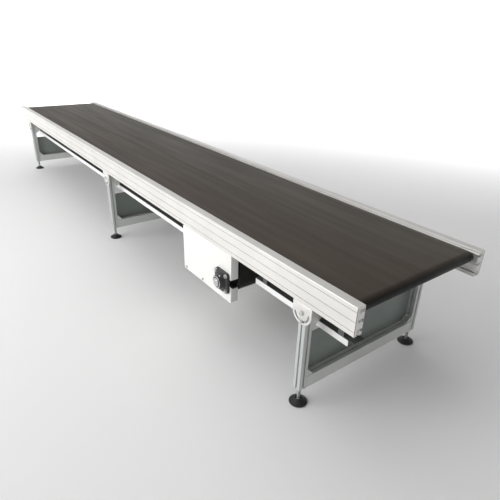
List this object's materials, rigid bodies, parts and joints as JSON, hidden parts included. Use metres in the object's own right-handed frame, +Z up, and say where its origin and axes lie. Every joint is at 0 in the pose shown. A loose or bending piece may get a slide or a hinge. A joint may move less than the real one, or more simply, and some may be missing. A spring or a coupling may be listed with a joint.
{
  "type": "belt conveyor section",
  "caption": "Low slider-bed belt conveyor in aluminium profile with an under-bed centre drive, tilting leg frames and levelling feet.",
  "frame": {"origin": "on the floor, under the middle of the conveyor, with the feet at mid travel", "axes": "+X along the conveyor towards the head end, where the drive is nearer, -Y the front side with the guard strip, +Z up"},
  "size_m": [4.75, 0.89, 0.625],
  "materials": {
    "rail": "clear anodised extruded aluminium, matt",
    "sheet": "light grey-white powder coat",
    "bed": "galvanised steel sheet",
    "belt": "dark brown-black polyurethane cover, satin",
    "roller": "zinc plated steel tube",
    "steel": "bright zinc plated steel",
    "bearing": "dark painted cast housing",
    "drum": "rubber lagged steel drum",
    "pulley": "turned aluminium",
    "timing": "toothed rubber belt",
    "motor": "dark grey enamel",
    "leg": "anodised extruded aluminium",
    "panel": "grey powder coated sheet",
    "bracket": "dark die-cast aluminium",
    "foot": "black glass-filled nylon"
  },
  "bodies": {
    "bed": {"front_rail": "rail", "back_rail": "rail", "slider_bed": "bed", "bed_cross_ties": "bed", "belt": "belt", "roller_axles": "steel", "roller_brackets": "steel", "front_drive_plate": "sheet", "back_drive_plate": "sheet", "drum_bearings": "bearing", "timing_belt": "timing", "motor_mount": "steel", "gearmotor": "motor", "drive_bottom_cover": "sheet", "guard_strips": "sheet", "pivot_plates": "steel", "frame_bolts": "steel"},
    "head_roller": {"head_roller": "roller"},
    "tail_roller": {"tail_roller": "roller"},
    "drum": {"drive_drum": "drum", "drum_pulley": "pulley"},
    "motor_output": {"motor_pulley": "pulley"},
    "head_snub": {"head_snub_roller": "roller"},
    "tail_snub": {"tail_snub_roller": "roller"},
    "return_1": {"return_roller_1": "roller"},
    "return_2": {"return_roller_2": "roller"},
    "return_3": {"return_roller_3": "roller"},
    "head_leg": {"head_leg_front_upright": "leg", "head_leg_back_upright": "leg", "head_leg_crossbar": "leg", "head_leg_top_tie": "leg", "head_leg_panel": "panel", "head_leg_brackets": "bracket", "head_leg_bolts": "steel"},
    "head_front_stem": {"head_leg_front_foot_stem": "steel"},
    "head_front_pad": {"head_leg_front_foot_pad": "foot"},
    "head_back_stem": {"head_leg_back_foot_stem": "steel"},
    "head_back_pad": {"head_leg_back_foot_pad": "foot"},
    "middle_leg": {"middle_leg_front_upright": "leg", "middle_leg_back_upright": "leg", "middle_leg_crossbar": "leg", "middle_leg_top_tie": "leg", "middle_leg_panel": "panel", "middle_leg_brackets": "bracket", "middle_leg_bolts": "steel"},
    "middle_front_stem": {"middle_leg_front_foot_stem": "steel"},
    "middle_front_pad": {"middle_leg_front_foot_pad": "foot"},
    "middle_back_stem": {"middle_leg_back_foot_stem": "steel"},
    "middle_back_pad": {"middle_leg_back_foot_pad": "foot"},
    "tail_leg": {"tail_leg_front_upright": "leg", "tail_leg_back_upright": "leg", "tail_leg_crossbar": "leg", "tail_leg_top_tie": "leg", "tail_leg_panel": "panel", "tail_leg_brackets": "bracket", "tail_leg_bolts": "steel"},
    "tail_front_stem": {"tail_leg_front_foot_stem": "steel"},
    "tail_front_pad": {"tail_leg_front_foot_pad": "foot"},
    "tail_back_stem": {"tail_leg_back_foot_stem": "steel"},
    "tail_back_pad": {"tail_leg_back_foot_pad": "foot"}
  },
  "joints": [
    {"name": "drum_spin", "type": "hinge", "parent": "bed", "child": "drum", "pos_m": [1.575, 0, 0.352], "axis": [0, 1, 0], "continuous": true},
    {"name": "head_roller_spin", "type": "hinge", "parent": "bed", "child": "head_roller", "pos_m": [2.325, 0, 0.5872], "axis": [0, 1, 0], "continuous": true},
    {"name": "tail_roller_spin", "type": "hinge", "parent": "bed", "child": "tail_roller", "pos_m": [-2.325, 0, 0.5872], "axis": [0, 1, 0], "continuous": true},
    {"name": "head_snub_spin", "type": "hinge", "parent": "bed", "child": "head_snub", "pos_m": [1.6671, 0, 0.5341], "axis": [0, 1, 0], "continuous": true},
    {"name": "tail_snub_spin", "type": "hinge", "parent": "bed", "child": "tail_snub", "pos_m": [1.4829, 0, 0.5341], "axis": [0, 1, 0], "continuous": true},
    {"name": "return_1_spin", "type": "hinge", "parent": "bed", "child": "return_1", "pos_m": [-1.37302, 0, 0.5341], "axis": [0, 1, 0], "continuous": true},
    {"name": "return_2_spin", "type": "hinge", "parent": "bed", "child": "return_2", "pos_m": [-0.42105, 0, 0.5341], "axis": [0, 1, 0], "continuous": true},
    {"name": "return_3_spin", "type": "hinge", "parent": "bed", "child": "return_3", "pos_m": [0.53092, 0, 0.5341], "axis": [0, 1, 0], "continuous": true},
    {"name": "motor_spin", "type": "hinge", "parent": "bed", "child": "motor_output", "pos_m": [1.3, 0, 0.352], "axis": [0, 1, 0], "continuous": true},
    {"name": "head_leg_tilt", "type": "hinge", "parent": "bed", "child": "head_leg", "pos_m": [2.12, 0, 0.465], "axis": [0, 1, 0], "range_deg": [-30, 30]},
    {"name": "head_front_foot_adjust", "type": "slide", "parent": "head_leg", "child": "head_front_stem", "axis": [0, 0, 1], "range_m": [-0.03, 0.015]},
    {"name": "head_front_pad_swivel", "type": "hinge", "parent": "head_front_stem", "child": "head_front_pad", "pos_m": [2.12, -0.3737, 0.014], "axis": [0, 1, 0], "range_deg": [-10, 10]},
    {"name": "head_back_foot_adjust", "type": "slide", "parent": "head_leg", "child": "head_back_stem", "axis": [0, 0, 1], "range_m": [-0.03, 0.015]},
    {"name": "head_back_pad_swivel", "type": "hinge", "parent": "head_back_stem", "child": "head_back_pad", "pos_m": [2.12, 0.3737, 0.014], "axis": [0, 1, 0], "range_deg": [-10, 10]},
    {"name": "middle_leg_tilt", "type": "hinge", "parent": "bed", "child": "middle_leg", "pos_m": [0.07, 0, 0.465], "axis": [0, 1, 0], "range_deg": [-30, 30]},
    {"name": "middle_front_foot_adjust", "type": "slide", "parent": "middle_leg", "child": "middle_front_stem", "axis": [0, 0, 1], "range_m": [-0.03, 0.015]},
    {"name": "middle_front_pad_swivel", "type": "hinge", "parent": "middle_front_stem", "child": "middle_front_pad", "pos_m": [0.07, -0.3737, 0.014], "axis": [0, 1, 0], "range_deg": [-10, 10]},
    {"name": "middle_back_foot_adjust", "type": "slide", "parent": "middle_leg", "child": "middle_back_stem", "axis": [0, 0, 1], "range_m": [-0.03, 0.015]},
    {"name": "middle_back_pad_swivel", "type": "hinge", "parent": "middle_back_stem", "child": "middle_back_pad", "pos_m": [0.07, 0.3737, 0.014], "axis": [0, 1, 0], "range_deg": [-10, 10]},
    {"name": "tail_leg_tilt", "type": "hinge", "parent": "bed", "child": "tail_leg", "pos_m": [-2.12, 0, 0.465], "axis": [0, 1, 0], "range_deg": [-30, 30]},
    {"name": "tail_front_foot_adjust", "type": "slide", "parent": "tail_leg", "child": "tail_front_stem", "axis": [0, 0, 1], "range_m": [-0.03, 0.015]},
    {"name": "tail_front_pad_swivel", "type": "hinge", "parent": "tail_front_stem", "child": "tail_front_pad", "pos_m": [-2.12, -0.3737, 0.014], "axis": [0, 1, 0], "range_deg": [-10, 10]},
    {"name": "tail_back_foot_adjust", "type": "slide", "parent": "tail_leg", "child": "tail_back_stem", "axis": [0, 0, 1], "range_m": [-0.03, 0.015]},
    {"name": "tail_back_pad_swivel", "type": "hinge", "parent": "tail_back_stem", "child": "tail_back_pad", "pos_m": [-2.12, 0.3737, 0.014], "axis": [0, 1, 0], "range_deg": [-10, 10]}
  ],
  "couplings": [
    {"joint": "head_roller_spin", "follows": "drum_spin", "ratio": 2.56},
    {"joint": "tail_roller_spin", "follows": "drum_spin", "ratio": 2.56},
    {"joint": "head_snub_spin", "follows": "drum_spin", "ratio": -2.56},
    {"joint": "tail_snub_spin", "follows": "drum_spin", "ratio": -2.56},
    {"joint": "return_1_spin", "follows": "drum_spin", "ratio": -2.56},
    {"joint": "return_2_spin", "follows": "drum_spin", "ratio": -2.56},
    {"joint": "return_3_spin", "follows": "drum_spin", "ratio": -2.56},
    {"joint": "motor_spin", "follows": "drum_spin", "ratio": 1.5}
  ]
}
